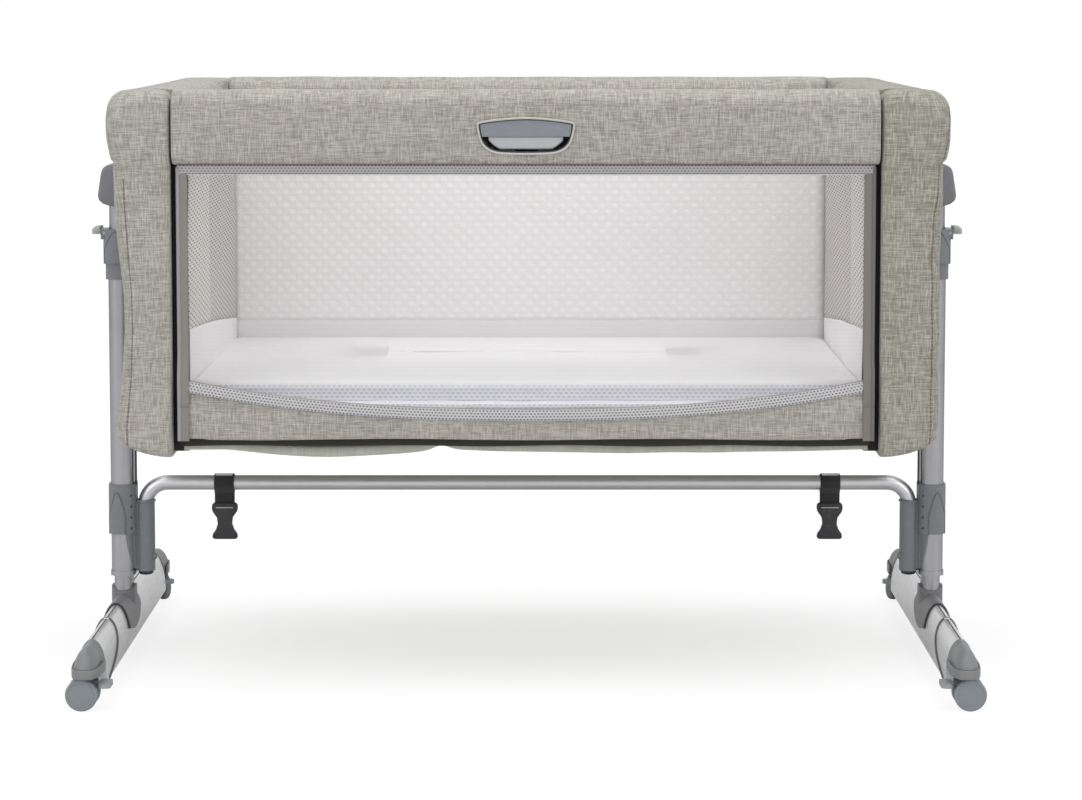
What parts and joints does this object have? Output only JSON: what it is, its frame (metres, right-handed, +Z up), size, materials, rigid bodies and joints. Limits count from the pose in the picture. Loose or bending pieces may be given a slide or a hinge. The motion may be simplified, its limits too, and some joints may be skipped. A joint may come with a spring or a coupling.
{
  "type": "bedside sleeper crib",
  "caption": "Bedside sleeper crib: padded cloth body with a drop-down mesh front, carried by two telescopic legs on castored feet joined by a low crossbar.",
  "frame": {"origin": "on the floor under the middle of the crib", "axes": "+X along the crib's length to the right as seen from its drop side, +Y to the back, +Z up"},
  "size_m": [1.0624, 0.66, 0.701],
  "materials": {
    "beam_metal": "satin",
    "leg_metal": "satin",
    "bar_metal": "satin",
    "frame_steel": "satin",
    "bolt_steel": "satin",
    "toe_plastic": "matte",
    "saddle_plastic": "matte",
    "bracket_plastic": "matte",
    "collar_plastic": "matte",
    "hub_plastic": "matte",
    "lever_plastic": "satin",
    "wheel_plastic": "satin",
    "hood_plastic": "satin",
    "pedal_plastic": "satin",
    "webbing": "matte",
    "buckle_plastic": "satin",
    "linen_cloth": "matte",
    "mesh_cloth": "matte",
    "mattress_cloth": "matte",
    "sling_cloth": "matte",
    "board_wood": "matte",
    "slider_plastic": "satin",
    "handle_plastic": "satin",
    "grip_plastic": "satin"
  },
  "bodies": {
    "stand": {"foot_beam_left": "beam_metal", "foot_beam_right": "beam_metal", "toe_cap_front_left": "toe_plastic", "toe_cap_front_right": "toe_plastic", "toe_cap_rear_left": "toe_plastic", "toe_cap_rear_right": "toe_plastic", "leg_saddle_left": "saddle_plastic", "leg_saddle_right": "saddle_plastic", "leg_stub_left": "leg_metal", "leg_stub_right": "leg_metal", "leg_tube_left": "leg_metal", "leg_tube_right": "leg_metal", "crossbar_bracket_left": "bracket_plastic", "crossbar_bracket_right": "bracket_plastic", "crossbar": "bar_metal", "height_collar_left": "collar_plastic", "height_collar_right": "collar_plastic", "stand_screws": "bolt_steel", "caster_stems": "bolt_steel"},
    "crib_body": {"riser_tube_left": "leg_metal", "riser_tube_right": "leg_metal", "hub_cover_left": "hub_plastic", "hub_cover_right": "hub_plastic", "hub_bolts": "bolt_steel", "rim_frame": "frame_steel", "base_frame": "frame_steel", "guide_posts": "frame_steel", "base_board": "board_wood", "mattress": "mattress_cloth", "end_cover_left": "linen_cloth", "end_cover_right": "linen_cloth", "back_cover": "linen_cloth", "front_lower_band": "linen_cloth", "front_mesh_panel": "mesh_cloth", "under_sling": "sling_cloth"},
    "drop_side": {"drop_rail_cover": "linen_cloth", "drop_rail_tube": "frame_steel", "rail_sliders": "slider_plastic", "handle_bezel": "handle_plastic"},
    "grip": {"release_grip": "grip_plastic"},
    "latch_left": {"latch_bolt_left": "bolt_steel"},
    "latch_right": {"latch_bolt_right": "bolt_steel"},
    "lever_left": {"height_lever_left": "lever_plastic"},
    "lever_right": {"height_lever_right": "lever_plastic"},
    "strap_left": {"bed_strap_left": "webbing", "strap_buckle_left": "buckle_plastic"},
    "strap_right": {"bed_strap_right": "webbing", "strap_buckle_right": "buckle_plastic"},
    "caster_front_left": {"caster_hood_front_left": "hood_plastic"},
    "wheels_front_left": {"caster_wheels_front_left": "wheel_plastic"},
    "pedal_front_left": {"brake_pedal_front_left": "pedal_plastic"},
    "caster_front_right": {"caster_hood_front_right": "hood_plastic"},
    "wheels_front_right": {"caster_wheels_front_right": "wheel_plastic"},
    "pedal_front_right": {"brake_pedal_front_right": "pedal_plastic"},
    "caster_rear_left": {"caster_hood_rear_left": "hood_plastic"},
    "wheels_rear_left": {"caster_wheels_rear_left": "wheel_plastic"},
    "pedal_rear_left": {"brake_pedal_rear_left": "pedal_plastic"},
    "caster_rear_right": {"caster_hood_rear_right": "hood_plastic"},
    "wheels_rear_right": {"caster_wheels_rear_right": "wheel_plastic"},
    "pedal_rear_right": {"brake_pedal_rear_right": "pedal_plastic"}
  },
  "joints": [
    {"name": "height_adjust", "type": "slide", "parent": "stand", "child": "crib_body", "axis": [0, 0, 1], "range_m": [0, 0.125]},
    {"name": "drop_side_slide", "type": "slide", "parent": "crib_body", "child": "drop_side", "axis": [0, 0, -1], "range_m": [0, 0.2], "deforming": ["front_mesh_panel"]},
    {"name": "grip_squeeze", "type": "slide", "parent": "drop_side", "child": "grip", "axis": [0, 0, 1], "range_m": [0, 0.005], "stiffness_N_per_m": 600, "springref_m": -0.002},
    {"name": "latch_left_draw", "type": "slide", "parent": "drop_side", "child": "latch_left", "axis": [1, 0, 0], "range_m": [0, 0.0045]},
    {"name": "height_lever_left_squeeze", "type": "hinge", "parent": "stand", "child": "lever_left", "pos_m": [-0.5152, 0, 0.52], "axis": [0, 1, 0], "range_deg": [0, 18], "stiffness_Nm_per_rad": 0.3, "springref_deg": -2.86},
    {"name": "strap_left_swing", "type": "hinge", "parent": "stand", "child": "strap_left", "pos_m": [-0.373, 0, 0.21], "axis": [1, 0, 0], "range_deg": [-70, 70]},
    {"name": "latch_right_draw", "type": "slide", "parent": "drop_side", "child": "latch_right", "axis": [-1, 0, 0], "range_m": [0, 0.0045]},
    {"name": "height_lever_right_squeeze", "type": "hinge", "parent": "stand", "child": "lever_right", "pos_m": [0.5152, 0, 0.52], "axis": [0, -1, 0], "range_deg": [0, 18], "stiffness_Nm_per_rad": 0.3, "springref_deg": -2.86},
    {"name": "strap_right_swing", "type": "hinge", "parent": "stand", "child": "strap_right", "pos_m": [0.373, 0, 0.21], "axis": [1, 0, 0], "range_deg": [-70, 70]},
    {"name": "caster_front_left_swivel", "type": "hinge", "parent": "stand", "child": "caster_front_left", "pos_m": [-0.498, -0.3, 0.04], "axis": [0, 0, 1], "continuous": true},
    {"name": "wheels_front_left_roll", "type": "hinge", "parent": "caster_front_left", "child": "wheels_front_left", "pos_m": [-0.503, -0.3, 0.0185], "axis": [0, 1, 0], "continuous": true},
    {"name": "brake_front_left_press", "type": "hinge", "parent": "caster_front_left", "child": "pedal_front_left", "pos_m": [-0.489, -0.3, 0.029], "axis": [0, 1, 0], "range_deg": [0, 12]},
    {"name": "caster_front_right_swivel", "type": "hinge", "parent": "stand", "child": "caster_front_right", "pos_m": [0.498, -0.3, 0.04], "axis": [0, 0, 1], "continuous": true},
    {"name": "wheels_front_right_roll", "type": "hinge", "parent": "caster_front_right", "child": "wheels_front_right", "pos_m": [0.503, -0.3, 0.0185], "axis": [0, -1, 0], "continuous": true},
    {"name": "brake_front_right_press", "type": "hinge", "parent": "caster_front_right", "child": "pedal_front_right", "pos_m": [0.489, -0.3, 0.029], "axis": [0, -1, 0], "range_deg": [0, 12]},
    {"name": "caster_rear_left_swivel", "type": "hinge", "parent": "stand", "child": "caster_rear_left", "pos_m": [-0.498, 0.3, 0.04], "axis": [0, 0, 1], "continuous": true},
    {"name": "wheels_rear_left_roll", "type": "hinge", "parent": "caster_rear_left", "child": "wheels_rear_left", "pos_m": [-0.50057, 0.30429, 0.0185], "axis": [0.8572, 0.515, 0], "continuous": true},
    {"name": "brake_rear_left_press", "type": "hinge", "parent": "caster_rear_left", "child": "pedal_rear_left", "pos_m": [-0.49336, 0.29229, 0.029], "axis": [0.8572, 0.515, 0], "range_deg": [0, 12]},
    {"name": "caster_rear_right_swivel", "type": "hinge", "parent": "stand", "child": "caster_rear_right", "pos_m": [0.498, 0.3, 0.04], "axis": [0, 0, 1], "continuous": true},
    {"name": "wheels_rear_right_roll", "type": "hinge", "parent": "caster_rear_right", "child": "wheels_rear_right", "pos_m": [0.50057, 0.30429, 0.0185], "axis": [0.8572, -0.515, 0], "continuous": true},
    {"name": "brake_rear_right_press", "type": "hinge", "parent": "caster_rear_right", "child": "pedal_rear_right", "pos_m": [0.49336, 0.29229, 0.029], "axis": [0.8572, -0.515, 0], "range_deg": [0, 12]}
  ],
  "couplings": [
    {"joint": "latch_left_draw", "follows": "grip_squeeze", "ratio": 0.9},
    {"joint": "latch_right_draw", "follows": "grip_squeeze", "ratio": 0.9}
  ]
}
